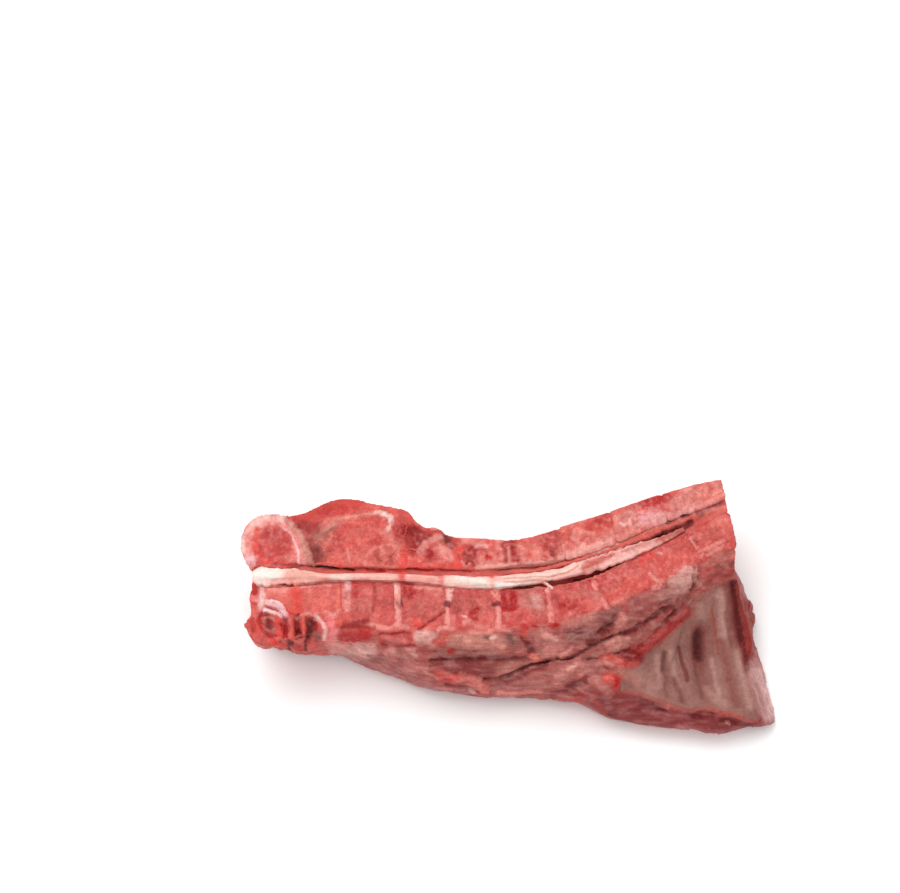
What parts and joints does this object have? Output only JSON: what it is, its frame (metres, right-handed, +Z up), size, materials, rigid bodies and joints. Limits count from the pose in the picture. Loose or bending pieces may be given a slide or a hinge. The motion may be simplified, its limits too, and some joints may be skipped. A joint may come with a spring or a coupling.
{
  "type": "raw pork neck bones",
  "caption": "Raw pork neck, split down the middle: sawn vertebrae, discs and spinal cord set in red meat, with the first ribs left on. Lies sawn side up.",
  "frame": {"origin": "middle of the resting side, on the table, below the middle of the whole", "axes": "+X from the head end to the chest end, +Y from the throat side to the back side, +Z up out of the sawn face"},
  "size_m": [0.2872, 0.1344, 0.0472],
  "materials": {
    "flesh": "raw pork muscle, wet and uneven, with pale pink membrane and fat seams",
    "sawn_bone": "sawn spongy bone, red marrow with a pale hard rim, damp",
    "disc": "pale, moist cartilage",
    "spinal_cord": "cream, soft and shiny",
    "rib_bone": "greyish-pink rib under a thin shiny membrane"
  },
  "bodies": {
    "root": {"flesh": "flesh", "spinal_cord": "spinal_cord", "atlas_body": "sawn_bone", "axis_body": "sawn_bone", "c3_body": "sawn_bone", "c4_body": "sawn_bone", "c5_body": "sawn_bone", "c6_body": "sawn_bone", "c7_body": "sawn_bone", "t1_body": "sawn_bone", "t2_body": "sawn_bone", "t3_body": "sawn_bone", "atlas_arch": "sawn_bone", "axis_spine": "sawn_bone", "c3_arch": "sawn_bone", "c4_arch": "sawn_bone", "c5_arch": "sawn_bone", "c6_arch": "sawn_bone", "c7_arch": "sawn_bone", "t1_spine": "sawn_bone", "t2_spine": "sawn_bone", "t3_spine": "sawn_bone", "disc_c2_c3": "disc", "disc_c3_c4": "disc", "disc_c4_c5": "disc", "disc_c5_c6": "disc", "disc_c6_c7": "disc", "disc_c7_t1": "disc", "disc_t1_t2": "disc", "disc_t2_t3": "disc", "rib_1": "rib_bone", "rib_2": "rib_bone", "rib_3": "rib_bone"}
  },
  "joints": []
}
